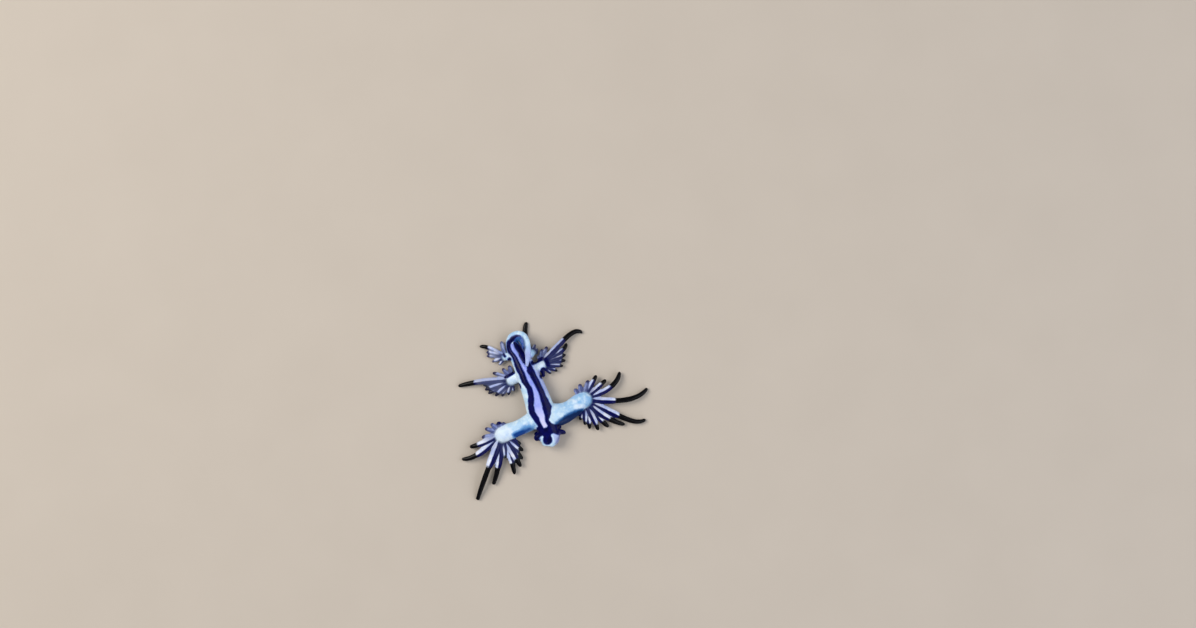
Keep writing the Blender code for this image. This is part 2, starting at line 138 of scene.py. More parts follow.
# Each ceras: bearing of its root, heading, length, curl, how late it curls, lift, greatest half width, and
# its waist as a share of the length.
CERATA = {
    "first_left": (
        (64, 70, 1.6, 0, 2, 12, 0.44, 0.80),
        (90, 92, 1.8, 0, 2, 12, 0.56, 0.62),
        (118, 118, 2.3, 6, 2, 18, 0.46, 0.80),
        (142, 142, 2.8, 10, 2, 14, 0.46, 0.80),
        (165, 171, 3.3, 10, 2, 8, 0.50, 0.76),
        (182, 188.5, 6.2, -12, 2, 16, 0.64, 0.70),
        (200, 204.5, 8.9, -45, 3, 8, 0.74, 0.62),
        (222, 231.6, 13.4, 3.6, 2.4, 14, 0.84, 0.44),
        (240, 247, 9.4, -17, 2.7, 5, 0.80, 0.60),
        (262, 262, 3.9, -6, 2, 16, 0.52, 0.78),
        (268, 274.5, 7.5, -14, 2, 3, 0.62, 0.67),
        (284, 283, 6.6, -2, 2, 12, 0.55, 0.70),
        (298, 292, 5.5, -4, 2, 2, 0.50, 0.70),
        (312, 303, 4.4, 0, 2, 11, 0.46, 0.72),
        (326, 312, 3.3, 0, 2, 3, 0.42, 0.72),
    ),
    "first_right": (
        (118, 115, 2.0, -8, 2, 14, 0.48, 0.80),
        (92, 90, 2.4, -8, 2, 20, 0.48, 0.80),
        (66, 62, 3.1, -8, 2, 16, 0.48, 0.78),
        (48, 47, 4.6, -4, 2, 12, 0.50, 0.74),
        (26, 25, 5.1, 0, 2, 18, 0.52, 0.72),
        (6, 4.6, 8.7, 68, 2.5, 11, 0.62, 0.58),
        (-14, -20.5, 12.6, 60, 3, 12, 0.72, 0.42),
        (-34, -43, 12.5, 70, 6.9, 7, 0.74, 0.53),
        (-52, -60, 8.9, 32, 1.6, 14, 0.60, 0.60),
        (-66, -70, 6.5, 16, 2, 3, 0.56, 0.72),
        (-80, -80, 5.9, -8, 2, 12, 0.52, 0.76),
        (-92, -94, 5.1, -10, 2, 1, 0.48, 0.76),
        (-106, -101, 4.2, -14, 2, 10, 0.44, 0.78),
        (-120, -113, 3.3, -16, 2, 2, 0.42, 0.78),
        (-132, -121, 2.5, -12, 2, 9, 0.40, 0.78),
    ),
    "second_left": (
        (62, 84, 2.6, 6, 2, 8, 0.48, 0.85),
        (95, 112, 2.6, 8, 2, 12, 0.42, 0.80),
        (122, 142, 3.7, 8, 2, 6, 0.42, 0.78),
        (150, 163, 10.5, 15, 1, 10, 0.64, 0.67),
        (168, 173, 5.4, 2, 2, 4, 0.48, 0.80),
        (186, 184, 5.3, -4, 2, 12, 0.46, 0.78),
        (204, 192, 5.0, 0, 2, 3, 0.44, 0.76),
        (220, 206, 4.2, 0, 2, 12, 0.42, 0.76),
        (236, 220, 3.4, 0, 2, 3, 0.38, 0.76),
        (256, 238, 2.7, 0, 2, 12, 0.36, 0.76),
        (276, 262, 1.9, 0, 2, 9, 0.34, 0.76),
    ),
    "second_right": (
        (100, 88, 1.5, -6, 2, 12, 0.38, 0.85),
        (86, 70, 2.7, -6, 2, 14, 0.38, 0.82),
        (74, 54, 3.4, -4, 2, 6, 0.42, 0.80),
        (58, 28.6, 10.8, -114, 8.4, 11, 0.62, 0.59),
        (38, 13.5, 6.4, 70, 6, 8, 0.50, 0.78),
        (16, 4, 4.9, 0, 2, 13, 0.46, 0.80),
        (-6, -7, 4.5, 0, 2, 3, 0.44, 0.80),
        (-26, -20, 4.0, 0, 2, 12, 0.40, 0.80),
        (-46, -38, 3.1, 0, 2, 3, 0.38, 0.80),
        (-64, -60, 2.3, 0, 2, 10, 0.36, 0.80),
        (-84, -101, 2.2, 0, 2, 8, 0.42, 0.70),
    ),
    "third_left": (
        (95, 95, 3.0, -18, 2, 6, 0.46, 0.85),
        (118, 137, 5.6, 48, 5, 8, 0.46, 0.68),
        (140, 148, 3.9, 10, 2, 14, 0.38, 0.80),
        (162, 160, 3.7, 4, 2, 2, 0.36, 0.80),
        (195, 180, 2.8, 4, 2, 10, 0.34, 0.80),
        (230, 208, 2.0, 4, 2, 2, 0.32, 0.80),
    ),
    "third_right": (
        (90, 101, 6.4, -50, 1.6, -4, 0.56, 0.62),
        (50, 52, 1.8, 6, 2, 2, 0.34, 0.80),
        (20, 20, 1.4, 6, 2, 0, 0.34, 0.80),
        (-15, -6, 1.1, 0, 2, 2, 0.32, 0.80),
    ),
}
# Half width along a ceras over its greatest: from the root to the waist, where it narrows, and along the dark
# tip, which is much the same width on every long ceras.
CERAS_PROFILE = ((0, 0.72), (0.2, 0.86), (0.55, 1), (0.88, 0.96), (1, 0.82), (1.16, 0.5))
TIP_PROFILE = ((0, 0), (0.4, 1.05), (0.6, 1.12), (0.75, 1.05), (0.88, 0.94), (0.96, 0.74), (1, 0.16))
TIP_HALF_WIDTH = 0.50
TIP_SHARE = 0.9  # the tip's half width over the greatest one, on a thin ceras

# The four feelers of the head: root, tip, half width at the root.
FEELERS = {
    "oral_tentacle_left": ((-0.60, -7.60, 2.10), (-2.92, -8.52, 1.95), 0.92),
    "oral_tentacle_right": ((1.00, -7.60, 2.10), (3.52, -9.00, 1.95), 0.66),
    "rhinophore_left": ((-0.60, -7.60, 1.20), (-2.76, -7.52, 0.68), 0.60),
    "rhinophore_right": ((1.00, -7.60, 1.20), (3.00, -7.55, 0.76), 0.58),
}
FEELER_PROFILE = ((0, 1), (0.5, 0.92), (0.8, 0.74), (0.94, 0.52), (1, 0.16))

# Finish of the skin mesh.
BODY_SIDES = 48
BODY_STEPS = 8  # rings between two rows of BODY
ARM_SIDES = 32
ARM_STEPS = 8
CERAS_SIDES = 14
CERAS_RING_LENGTH = 0.25
FEELER_STEPS = 16
SKIN_GRAIN = 0.124  # edge of the even faces that the skin is rebuilt from
SMOOTHING = 0.5
SMOOTHING_PASSES = 4

# The foot's two dark stripes and the pale sole between them: distance along the body's middle from the snout,
# then across it the outer and inner edge of the left stripe and the inner and outer edge of the right one.
STRIPES = (
    (3.6, -1.70, -0.48, -0.05, 1.34),
    (4.6, -1.70, -0.72, 0.32, 1.24),
    (5.5, -1.52, -0.76, 0.26, 0.92),
    (6.5, -1.87, -0.80, 0.60, 1.80),
    (7.7, -2.28, -1.09, 0.60, 2.38),
    (8.9, -2.12, -0.95, 0.67, 2.14),
    (10.1, -1.74, -0.51, 0.76, 1.94),
    (11.1, -1.36, -0.28, 0.82, 1.94),
    (12.4, -1.15, -0.14, 0.67, 1.79),
    (14.1, -1.62, -0.46, 0.43, 1.63),
    (15.6, -1.56, -0.38, 0.20, 1.53),
    (16.3, -1.66, -0.46, 0.50, 1.48),
    (16.9, -1.70, -0.46, 0.52, 1.46),
    (17.5, -1.62, -0.36, 0.22, 1.50),
    (19.0, -1.24, -0.33, 0.20, 1.45),
    (19.8, -1.20, -0.36, 0.36, 1.50),
    (20.8, -1.40, -0.52, 0.30, 1.50),
    (21.8, -1.30, -0.45, 0.28, 1.05),
    (22.5, -1.05, -0.10, 0.20, 0.80),
    (23.0, -0.62, 0.40, 0.40, 0.60),
    (24.0, -0.32, 0.35, 0.35, 0.45),
    (25.2, -0.12, 0.15, 0.15, 0.20),
    (26.2, 0.30, 0.30, 0.30, 0.30),
    (28.0, 0.90, 0.90, 0.90, 0.90),
    (31.8, 0.90, 0.90, 0.90, 0.90),
)
STRIPES_START = 3.4  # where along the body the stripes start
STRIPES_DROP = 0.25  # how far below the body's middle the stripes reach down its sides
SOLE_ENDS = (4.35, 22.3)  # where along the body the sole starts and ends
BODY_REACH = 0.4  # the body's own markings stay this close to its skin
# Where the painted shade on the hook's inner side begins, in blue: distance along the body, and how far
# across it.
HOOK_SHADE_START = (
    (20.8, 1.60),
    (21.8, 0.85),
    (22.8, 0.50),
    (23.8, 0.05),
    (26.4, -0.15),
    (27.6, 0.05),
    (28.4, 0.35),
    (29.6, 0.80),
)

# Outlines of the dark markings in the top view. The head's goes round its band, two lobes and the round spot.
HEAD_MARK = (
    (-1.60, -6.20), (-2.00, -6.60), (-2.75, -7.00), (-3.40, -7.60), (-3.50, -8.90), (-2.60, -9.40),
    (-2.35, -8.95), (-2.05, -8.50), (-1.50, -8.15), (-1.05, -8.05), (-0.90, -8.35), (-1.10, -8.75),
    (-1.23, -9.15), (-1.16, -9.60), (-0.95, -9.92), (-0.55, -10.12), (-0.10, -10.10), (0.30, -9.88),
    (0.55, -9.48), (0.64, -9.10), (0.54, -8.70), (0.56, -8.36), (0.80, -8.20), (1.25, -8.26),
    (1.80, -8.68), (2.30, -9.05), (3.20, -9.60), (4.00, -9.20), (3.90, -8.30), (3.40, -7.30),
    (3.30, -6.80), (2.70, -6.90), (1.95, -6.65), (1.25, -6.15), (0.90, -5.80), (-0.90, -5.90),
)
HEAD_MARK_END = 5.3  # where along the body it ends
HEAD_MARK_DROP = 0.6  # how far below the body's middle it reaches
HEAD_MARK_REACH = 0.5  # how far from the body's skin
# How far out along each feeler its navy starts.
FEELER_NAVY = {"oral_tentacle": 1.3, "rhinophore": 1.2}
FEELER_REACH = 0.3
FEELER_ZONE = (4.0, -6.4)  # the feelers are within this x and in front of this y
# The blue patches on the front of the first arms.
ARM_MARKS = {
    "left": (
        (-6.85, -6.05), (-6.00, -5.75), (-5.00, -5.60), (-3.90, -5.35), (-2.90, -5.40), (-2.30, -5.85),
        (-2.50, -6.60), (-3.60, -7.00), (-5.00, -7.30), (-6.20, -7.20), (-6.80, -6.80),
    ),
    "right": (
        (1.70, -6.90), (2.40, -6.30), (3.20, -5.95), (4.20, -5.60), (5.20, -5.38), (6.30, -5.20),
        (7.40, -5.15), (8.20, -5.40), (8.00, -6.30), (6.20, -7.20), (5.00, -7.60), (4.00, -8.10),
        (3.00, -8.40),
    ),
}
# Small navy blotches near the cerata's roots, and white spots: from, to and half width in the top view.
BLOTCHES = (
    ((-2.72, 2.50), (-2.72, 2.90), 0.36),
    ((-3.10, 8.32), (-2.90, 8.42), 0.30),
    ((2.35, 3.30), (2.85, 4.30), 0.55),
    ((-4.90, 5.15), (-3.10, 5.60), 0.34),
    ((1.30, 6.35), (3.30, 6.65), 0.40),
    ((3.95, 6.30), (4.05, 5.10), 0.42),
    ((-9.00, -3.20), (-8.60, -3.20), 0.42),
    ((-3.88, 9.70), (-3.74, 9.22), 0.24),
)
WHITE_SPOTS = (
    ((-9.0, -5.0), (-8.2, -5.8), 1.65),
    ((-4.0, 4.20), (-2.9, 4.20), 0.72),
    ((2.1, 5.35), (3.0, 5.50), 0.72),
    ((-2.75, 9.0), (-2.65, 9.2), 0.42),
    ((7.0, -4.5), (8.3, -4.9), 0.42),
    ((6.9, -3.4), (7.2, -3.5), 0.25),
)
# How far the navy side of an arm's cerata crosses their middle, as a share of their half width.
FRINGE_SHIFT = {
    "first_left": 0,
    "first_right": 0.12,
    "second_left": 0.05,
    "second_right": 0.28,
    "third_left": -0.1,
    "third_right": 0.2,
}
# How milky the cerata of the rear arms are, which are thinner and more see-through.
MILKINESS = {"second_left": 0.24, "second_right": 0.06, "third_left": 0.7, "third_right": 0.4}
# How much painted shade an arm's cerata have at least, and what share of the usual painted shade they have.
LEAST_CERAS_SHADE = {"second_left": 0.45, "second_right": 0.45}
CERAS_SHADE_SHARE = {"third_left": 0.5}
# The cerata that are navy on both sides, by arm and bearing.
NAVY_CERATA = (("second_right", -84),)
CERAS_BLEND = 0.07  # how far the markings of cerata that touch blend into each other
CERAS_REACH = 0.5  # how far from its skin a ceras's markings are worked out
CERAS_MARGIN = 1.2  # and how far from the box round its middle line
LONG_CERAS = 5.5  # longer ones keep their black tip where they are faint
# A line of painted shade along the right cheek's outer edge, in grey.
CHEEK_SHADE_LINE = ((2.30, -8.85), (2.02, -9.30), (1.62, -9.85), (1.05, -10.40))
CHEEK_SHADE_HALF_WIDTH = 0.12

# Relief of the skin: the raised sole, the groove along its edge and the grooves along the stripes' edges.
SOLE_RISE = 0.09
SOLE_GROOVE = (0.05, 0.14)  # depth and half width
STRIPE_GROOVE = (0.035, 0.16)
STRIPE_GROOVE_START = 5.0  # where along the body they start
# The mouth: its middle, the depth and half width of its dimple, and the lip round it.
MOUTH = (-0.52, -9.78, 2.98)
MOUTH_STRETCH = (1.5, 0.9, 1.0)  # it is longer along the body than across
MOUTH_DIMPLE = (0.3, 0.22)
MOUTH_LIP = (0.08, 0.15)
LIP_DISTANCE = 0.5

# How strong the tints of the pale skin are; the lilac on the trunk's right side is painted shade.
SKY = {"right_palm": 0.8, "left_arm": 0.25, "right_arm": 0.6, "tail": 0.4}
LILAC_TINT_AND_SHADE = {"trunk": 0.8, "right_arm": 0.7, "tail_tip": 0.8, "cheek": 0.75}
TINT_GAP = 0.3  # a tint of the body goes this far out of its skin

# Patterns of the skin. The grains are finer in life, and drawn as coarse as they need to show.
CLOUD_SIZE = 1.1
PIMPLE_SIZE = 0.22
GRAIN_SIZE = 0.08
CREASE_SPACING = 0.5

FAR_GAP = 9.0  # a point's gap from a line that is out of its reach


def value_at(profile, t):
    """The profile's value at t, on straight lines between its points."""
    for (t0, v0), (t1, v1) in zip(profile, profile[1:]):
        if t <= t1:
            return v0 + (v1 - v0) * (t - t0) / (t1 - t0)
    return profile[-1][1]


def catmull_rom(a, b, c, d, t):
    """The smooth curve's value at t on its way from b to c, with a and d beyond them."""
    bend = (2 * a - 5 * b + 4 * c - d) * t**2 + (3 * b - a - 3 * c + d) * t**3
    return 0.5 * (2 * b + (c - a) * t + bend)


def smooth_rows(rows, steps):
    """Rows on a smooth curve through these rows, with the sizes carried along."""
    result = []
    last = len(rows) - 1
    for i in range(last):
        near = (rows[max(i - 1, 0)], rows[i], rows[i + 1], rows[min(i + 2, last)])
        for k in range(steps):
            t = k / steps
            result.append(tuple(catmull_rom(*values, t) for values in zip(*near)))
    result.append(rows[-1])
    return result


def signed_power(value, power):
    """The value's size to a power, with the value's own sign."""
    return math.copysign(abs(value) ** power, value)


def add_tube(skin, rows, sides, squareness=2.0):
    """Adds a closed tube through rows of x, y, z, half width and half height, its upper half this square."""
    bm = bmesh.new()
    rings = []
    for i, (x, y, z, half_width, half_height) in enumerate(rows):
        before = Vector(rows[max(i - 1, 0)][:3])
        after = Vector(rows[min(i + 1, len(rows) - 1)][:3])
        along = (after - before).normalized()
        side = along.cross(Vector((0, 0, 1))).normalized()
        up = side.cross(along)
        ring = bmesh.ops.create_circle(bm, segments=sides, radius=1)["verts"]
        for v in ring:
            angle = math.atan2(v.co.y, v.co.x)
            power = 2 / squareness if v.co.y > 0 else 1
            across = signed_power(math.cos(angle), power) * half_width
            height = signed_power(math.sin(angle), power) * half_height
            v.co = Vector((x, y, z - REST_DEPTH)) + side * across + up * height
        rings.append(list({e for v in ring for e in v.link_edges}))
    for first, second in zip(rings, rings[1:]):
        bmesh.ops.bridge_loops(bm, edges=first + second)
    bmesh.ops.holes_fill(bm, edges=rings[0] + rings[-1], sides=sides)
    bmesh.ops.recalc_face_normals(bm, faces=bm.faces)
    mesh = bpy.data.meshes.new("tube")
    bm.to_mesh(mesh)
    bm.free()
    skin.from_mesh(mesh)
    bpy.data.meshes.remove(mesh)


def ceras_rows(palm, row):
    """The middle line and sizes of one ceras, which curls sideways and arches up and down on its way."""
    (palm_x, palm_y, palm_z), reach = palm
    bearing, heading, length, curl, lateness, lift, half_width, waist = row
    x = palm_x + reach * math.cos(math.radians(bearing))
    y = palm_y + reach * math.sin(math.radians(bearing))
    z = palm_z
    count = math.ceil(length / CERAS_RING_LENGTH)
    step = length / count
    rows = []
    for i in range(count + 1):
        tip = min(TIP_HALF_WIDTH, TIP_SHARE * half_width) * value_at(TIP_PROFILE, i / count)
        half = tip if i == count else max(half_width * value_at(CERAS_PROFILE, i / count / waist), tip)
        rows.append((x, y, z, half, half * CERAS_FLATNESS))
        middle = (i + 0.5) / count
        turn = math.radians(heading + curl * middle**lateness)
        rise = math.radians(lift * (1 - 2 * middle) - CERAS_SINK)
        x += step * math.cos(turn) * math.cos(rise)
        y += step * math.sin(turn) * math.cos(rise)
        z += step * math.sin(rise)
    return rows


def feeler_rows(root, tip, half_width):
    """The straight middle line and sizes of one feeler."""
    rows = []
    for i in range(FEELER_STEPS + 1):
        t = i / FEELER_STEPS
        half = half_width * value_at(FEELER_PROFILE, t)
        rows.append((*Vector(root).lerp(Vector(tip), t), half, half))
    return rows


BODY_LINE = smooth_rows(BODY, BODY_STEPS)
CERAS_LINES = [
    (arm, row, ceras_rows(PALMS[arm], row))
    for arm, rows in CERATA.items() for row in rows
]
FEELER_LINES = {name: feeler_rows(*feeler) for name, feeler in FEELERS.items()}


def add_object(data):
    """Adds an object for this mesh, camera or light to the scene, under the same name."""
    made = bpy.data.objects.new(data.name, data)
    bpy.context.scene.collection.objects.link(made)
    return made


def skin_mesh():
    """The whole slug as one even skin, in millimetres."""
    bm = bmesh.new()
    add_tube(bm, BODY_LINE, BODY_SIDES, FOOT_SQUARENESS)
    for rows in ARMS.values():
        add_tube(bm, smooth_rows(rows, ARM_STEPS), ARM_SIDES)
    for _, _, line in CERAS_LINES:
        add_tube(bm, line, CERAS_SIDES)
    for line in FEELER_LINES.values():
        add_tube(bm, line, CERAS_SIDES)
    rough = bpy.data.meshes.new("rough_skin")
    bm.to_mesh(rough)
    bm.free()
    tubes = add_object(rough)
    remesh = tubes.modifiers.new("even", "REMESH")
    remesh.mode = "VOXEL"
    remesh.voxel_size = SKIN_GRAIN
    smooth = tubes.modifiers.new("soften", "SMOOTH")
    smooth.factor = SMOOTHING
    smooth.iterations = SMOOTHING_PASSES
    bpy.context.view_layer.update()
    finished = tubes.evaluated_get(bpy.context.evaluated_depsgraph_get())
    mesh = bpy.data.meshes.new_from_object(finished)
    bpy.data.objects.remove(tubes)
    return mesh


def smoothstep(low, high, value):
    """0 up to low, 1 from high on, and a smooth step between them."""
    t = np.clip((value - low) / (high - low), 0, 1)
    return t * t * (3 - 2 * t)


def beside(line, points, reach=1.0):
    """Where each point is beside a line with sizes: along it, to its right, above it, and out of its skin.

    A point farther than reach from the whole line's skin keeps FAR_GAP.
    """
    count = len(points)
    best = np.full(count, np.inf)
    along, right, above = (np.zeros(count) for _ in range(3))
    gap = np.full(count, FAR_GAP)
    start = 0.0
    for first, second in zip(line, line[1:]):
        a = np.array(first)
        b = np.array(second)
        run = b[:3] - a[:3]
        length = np.linalg.norm(run)
        if length < 1e-9:
            continue
        run /= length
        base = a[:3] - (0, 0, REST_DEPTH)
        limit = max(a[3:].max(), b[3:].max()) + length + reach
        near = np.flatnonzero(np.abs(points - base).max(1) < limit)
        offset = points[near] - base
        t = np.clip(offset @ run, 0, length)
        away = offset - t[:, None] * run
        side = np.cross(run, (0, 0, 1.0))
        side /= np.linalg.norm(side)
        share = t / length
        wide = a[3] + (b[3] - a[3]) * share
        high = a[4] + (b[4] - a[4]) * share
        x = away @ side
        z = away @ np.cross(side, run)
        beyond = away @ run
        ratio = np.sqrt((x / wide) ** 2 + (z / high) ** 2 + (beyond / high) ** 2)
        better = ratio < best[near]
        index = near[better]
        best[index] = ratio[better]
        along[index] = start + t[better]
        right[index] = x[better]
        above[index] = z[better]
        gap[index] = ((ratio - 1) * np.minimum(wide, high))[better]
        start += length
    return along, right, above, gap


def vertex_values(mesh, name):
    """The three numbers that each vertex has under this name."""
    values = np.empty(len(mesh.vertices) * 3)
    mesh.vertices.foreach_get(name, values)
    return values.reshape(-1, 3)


def inside_capsule(points, start, end, radius):
    """How far inside an upright capsule each point is, in the top view."""
    run = np.subtract(end, start)
    offset = points[:, :2] - start
    t = np.clip((offset @ run) / max(run @ run, 1e-9), 0, 1)
    return radius - np.linalg.norm(offset - t[:, None] * run, axis=1)


def inside_outline(points, outline):
    """How far inside an outline each point is, in the top view, and less than zero outside."""
    x, y = points[:, 0], points[:, 1]
    depth = np.full(len(points), -np.inf)
    within = np.zeros(len(points), bool)
    for (ax, ay), (bx, by) in zip(outline, outline[1:] + outline[:1]):
        depth = np.maximum(depth, inside_capsule(points, (ax, ay), (bx, by), 0))
        crossed = (ay > y) != (by > y)
        within ^= crossed & (x < ax + (y - ay) * (bx - ax) / (by - ay if by != ay else 1))
    return np.where(within, -depth, depth)


def body_fields(points):
    """The stripes, sole and the hook's painted shade, in millimetres inside their edges, and the place on the
    body.
    """
    along, across, above, gap = beside(BODY_LINE, points)
    places, *columns = zip(*STRIPES)
    left_outer, left_inner, right_inner, right_outer = (np.interp(along, places, c) for c in columns)
    upper = above + STRIPES_DROP
    on_body = np.minimum(BODY_REACH - gap, along - STRIPES_START)
    left = np.minimum(across - left_outer, left_inner - across)
    right = np.minimum(across - right_inner, right_outer - across)
    stripes = np.minimum.reduce((np.maximum(left, right), upper, on_body))
    start, end = SOLE_ENDS
    sole = np.minimum.reduce((
        across - left_inner, right_inner - across, along - start, end - along, upper, on_body,
    ))
    # Painted shade: the hook's inner side, from these edges inwards.
    begins = np.interp(along, *zip(*HOOK_SHADE_START))
    hook_shade = np.minimum.reduce((across - begins, along - HOOK_SHADE_START[0][0], BODY_REACH - gap))
    return {
        "along": along, "across": across, "above": above, "gap": gap,
        "stripes": stripes, "sole": sole, "hook_shade": hook_shade,
    }


def head_mark(points, body):
    """How far inside the head's navy each point is: its band, two lobes, round spot and feelers."""
    mark = np.minimum.reduce((
        inside_outline(points, HEAD_MARK),
        body["above"] + HEAD_MARK_DROP,
        HEAD_MARK_REACH - body["gap"],
        HEAD_MARK_END - body["along"],
    ))
    zone_x, zone_y = FEELER_ZONE
    nearby = np.flatnonzero((points[:, 1] < zone_y) & (np.abs(points[:, 0]) < zone_x))
    for name, line in FEELER_LINES.items():
        along, _, _, gap = beside(line, points[nearby])
        out = along - FEELER_NAVY[name.rsplit("_", 1)[0]]
        mark[nearby] = np.maximum(mark[nearby], np.minimum(FEELER_REACH - gap, out))
    return mark


def ceras_marks(arm, row, run, side, gap):
    """A ceras's marks: belonging to it, run past its waist, depth in its navy side, painted shade, faintness.
    """
    bearing, length, half_width, waist = row[0], row[2], row[6], row[7]
    left = arm.endswith("left")
    rear = bearing < 170 if left else bearing > 60
    short = 1 - smoothstep(2.8, 5.2, np.array(length))
    past_waist = run - waist * length

    # It grows out of the palm, and its marks end just outside its own skin.
    root = 0.5 if arm.startswith("first") else 0.4
    belongs = smoothstep(root - 0.35, root + 0.35, run) * (1 - smoothstep(0.08, 0.3, gap))

    # Its navy side faces the head, and is wider at the root.
    fringe = side * (-1 if left else 1) + FRINGE_SHIFT[arm] * half_width
    fringe += 0.12 * (1 - smoothstep(0.4, 1.8, run))
    if (arm, bearing) in NAVY_CERATA:
        fringe += half_width

    # Painted shade darkens a short ceras, most of all at the rear of the palm, and the root of a long one.
    shade = max((0.9 if rear else 0.4) * short, LEAST_CERAS_SHADE.get(arm, 0)) * CERAS_SHADE_SHARE.get(arm, 1)
    root_shade = 0.4 + 0.45 * (1 - smoothstep(4.5, 8.5, np.array(length)))
    ceras_shade = np.maximum(shade, root_shade * (1 - smoothstep(0.25, 0.9, run / (waist * length))))

    # Short cerata at the rear are faint, and so are milky ones, but not the black tip of a long one.
    faint = np.maximum(0.75 * short if rear else 0, MILKINESS.get(arm, 0) * smoothstep(0.5, 2.2, run))
    if length > LONG_CERAS:
        faint *= 1 - smoothstep(-0.8, -0.1, past_waist)
    return np.stack((belongs, past_waist, fringe, ceras_shade, faint), 1)


def ceras_fields(points):
    """The marks of all the cerata, blended where two of them touch, so that no marking has a ragged edge."""
    names = ("ceras", "tip", "fringe", "ceras_shade", "faint")
    values = np.zeros((len(points), len(names)))
    weights = np.full(len(points), 1e-9)
    for arm, row, line in CERAS_LINES:
        spots = np.array(line)[:, :3]
        near = (points > spots.min(0) - CERAS_MARGIN) & (points < spots.max(0) + CERAS_MARGIN)
        index = np.flatnonzero(near.all(1))
        run, side, _, gap = beside(line[::2] + line[-1:], points[index], CERAS_REACH)
        weight = np.exp(-np.clip(gap, -0.6, 1.2) / CERAS_BLEND)
        weights[index] += weight
        values[index] += weight[:, None] * ceras_marks(arm, row, run, side, gap)
    return dict(zip(names, (values / weights[:, None]).T))


def most_inside(points, capsules):
    """How far inside the nearest capsule each point is, in the top view."""
    return np.maximum.reduce([inside_capsule(points, *capsule) for capsule in capsules])


def fade_between(value, start, full, fading, end):
    """1 from full to fading, and fading away to 0 at start and at end."""
    return smoothstep(start, full, value) * (1 - smoothstep(fading, end, value))


def blueness(points):
    """How sky blue the pale skin is: the right palm most, then the first arms and the tail."""
    x, y = points[:, 0], points[:, 1]
    (palm_x, palm_y, _), _ = PALMS["first_right"]
    palm = SKY["right_palm"] * (1 - smoothstep(1.2, 3.2, np.hypot(x - palm_x, y - palm_y)))
    arms = np.where(x > 0, SKY["right_arm"], SKY["left_arm"])
    arms *= fade_between(np.abs(x), 2.4, 5.0, 7.5, 9) * fade_between(y, -9, -6, -2, -0.5)
    tail = SKY["tail"] * smoothstep(6, 9, y)
    return np.maximum.reduce((palm, arms, tail))


def lilac_tint_and_shade(points, body):
    """How lilac the skin is: painted shade on the trunk's right side; a tint on the head's right, right arm's
    rear, tail tip.
    """
    x, y = points[:, 0], points[:, 1]
    on_body = body["gap"] < TINT_GAP
    # Painted shade: lilac along the trunk's right side, outside the right stripe.
    trunk = LILAC_TINT_AND_SHADE["trunk"] * smoothstep(1.2, 1.8, body["across"]) * smoothstep(-2.5, 1, y) * on_body
    arm = LILAC_TINT_AND_SHADE["right_arm"] * smoothstep(-3.6, -2.4, y - 0.12 * x)
    arm *= fade_between(x, 3.5, 5, 8, 10) * (1 - smoothstep(0, 1, y))
    tip = LILAC_TINT_AND_SHADE["tail_tip"] * smoothstep(27, 29.5, body["along"]) * on_body
    cheek = LILAC_TINT_AND_SHADE["cheek"] * smoothstep(0.6, 1.3, x) * smoothstep(-8, -8.4, y)
    return np.maximum.reduce((trunk, arm, tip, cheek))


def backness(points, normals):
    """How silver grey the skin is: on the underside, and from half-way up on the snout."""
    snout = smoothstep(-8.6, -9.6, points[:, 1])
    return smoothstep(-0.1 + 0.75 * snout, -0.6 + 0.7 * snout, normals[:, 2])


def find_markings(points, normals, body):
    """The markings in millimetres inside their edges, the tints from 0 to 1, and the place on the body."""
    blotches = most_inside(points, BLOTCHES)
    navy = np.maximum(np.maximum(body["stripes"], head_mark(points, body)), blotches)
    # The cheek's grey line is painted shade along the head's right edge.
    cheek = [(a, b, CHEEK_SHADE_HALF_WIDTH) for a, b in zip(CHEEK_SHADE_LINE, CHEEK_SHADE_LINE[1:])]
    patches = {side: inside_outline(points, outline) for side, outline in ARM_MARKS.items()}
    # The left patch has a softer edge near the body, and a sharper one farther out.
    patches["left"] *= 0.7 + 1.4 * smoothstep(-3.8, -5.2, points[:, 0])

    marks = ceras_fields(points)
    marks["ceras"] *= 1 - smoothstep(0.0, 0.14, blotches)
    marks.update({
        "navy": np.minimum(navy, -body["sole"]),
        "sole": body["sole"],
        "hook_shade": body["hook_shade"],
        "patch_left": patches["left"],
        "patch_right": patches["right"],
        "white": most_inside(points, WHITE_SPOTS),
        "cheek": most_inside(points, cheek),
        "sky": blueness(points),
        "lilac_and_shade": lilac_tint_and_shade(points, body),
        "back": backness(points, normals),
        "along": body["along"],
        "across": body["across"],
        "trunk": 1 - smoothstep(0.1, 0.7, body["gap"]),
    })
    return marks


def ridge(distance, height, half_width):
    """The height of a soft ridge at a distance from its crest."""
    return height * np.exp(-(distance / half_width) ** 2)


def relief(points, up, body):
    """How far the skin rises: the sole, less the grooves at its edge and the stripes', and the mouth."""
    rise = SOLE_RISE * smoothstep(-0.12, 0.2, body["sole"]) - ridge(body["sole"], *SOLE_GROOVE)
    grooved = (body["along"] > STRIPE_GROOVE_START) & (up > 0)
    rise -= ridge(body["stripes"], *STRIPE_GROOVE) * grooved
    mouth = np.array(MOUTH) - (0, 0, REST_DEPTH)
    away = np.linalg.norm((points - mouth) * MOUTH_STRETCH, axis=1)
    return rise + ridge(away - LIP_DISTANCE, *MOUTH_LIP) - ridge(away, *MOUTH_DIMPLE)


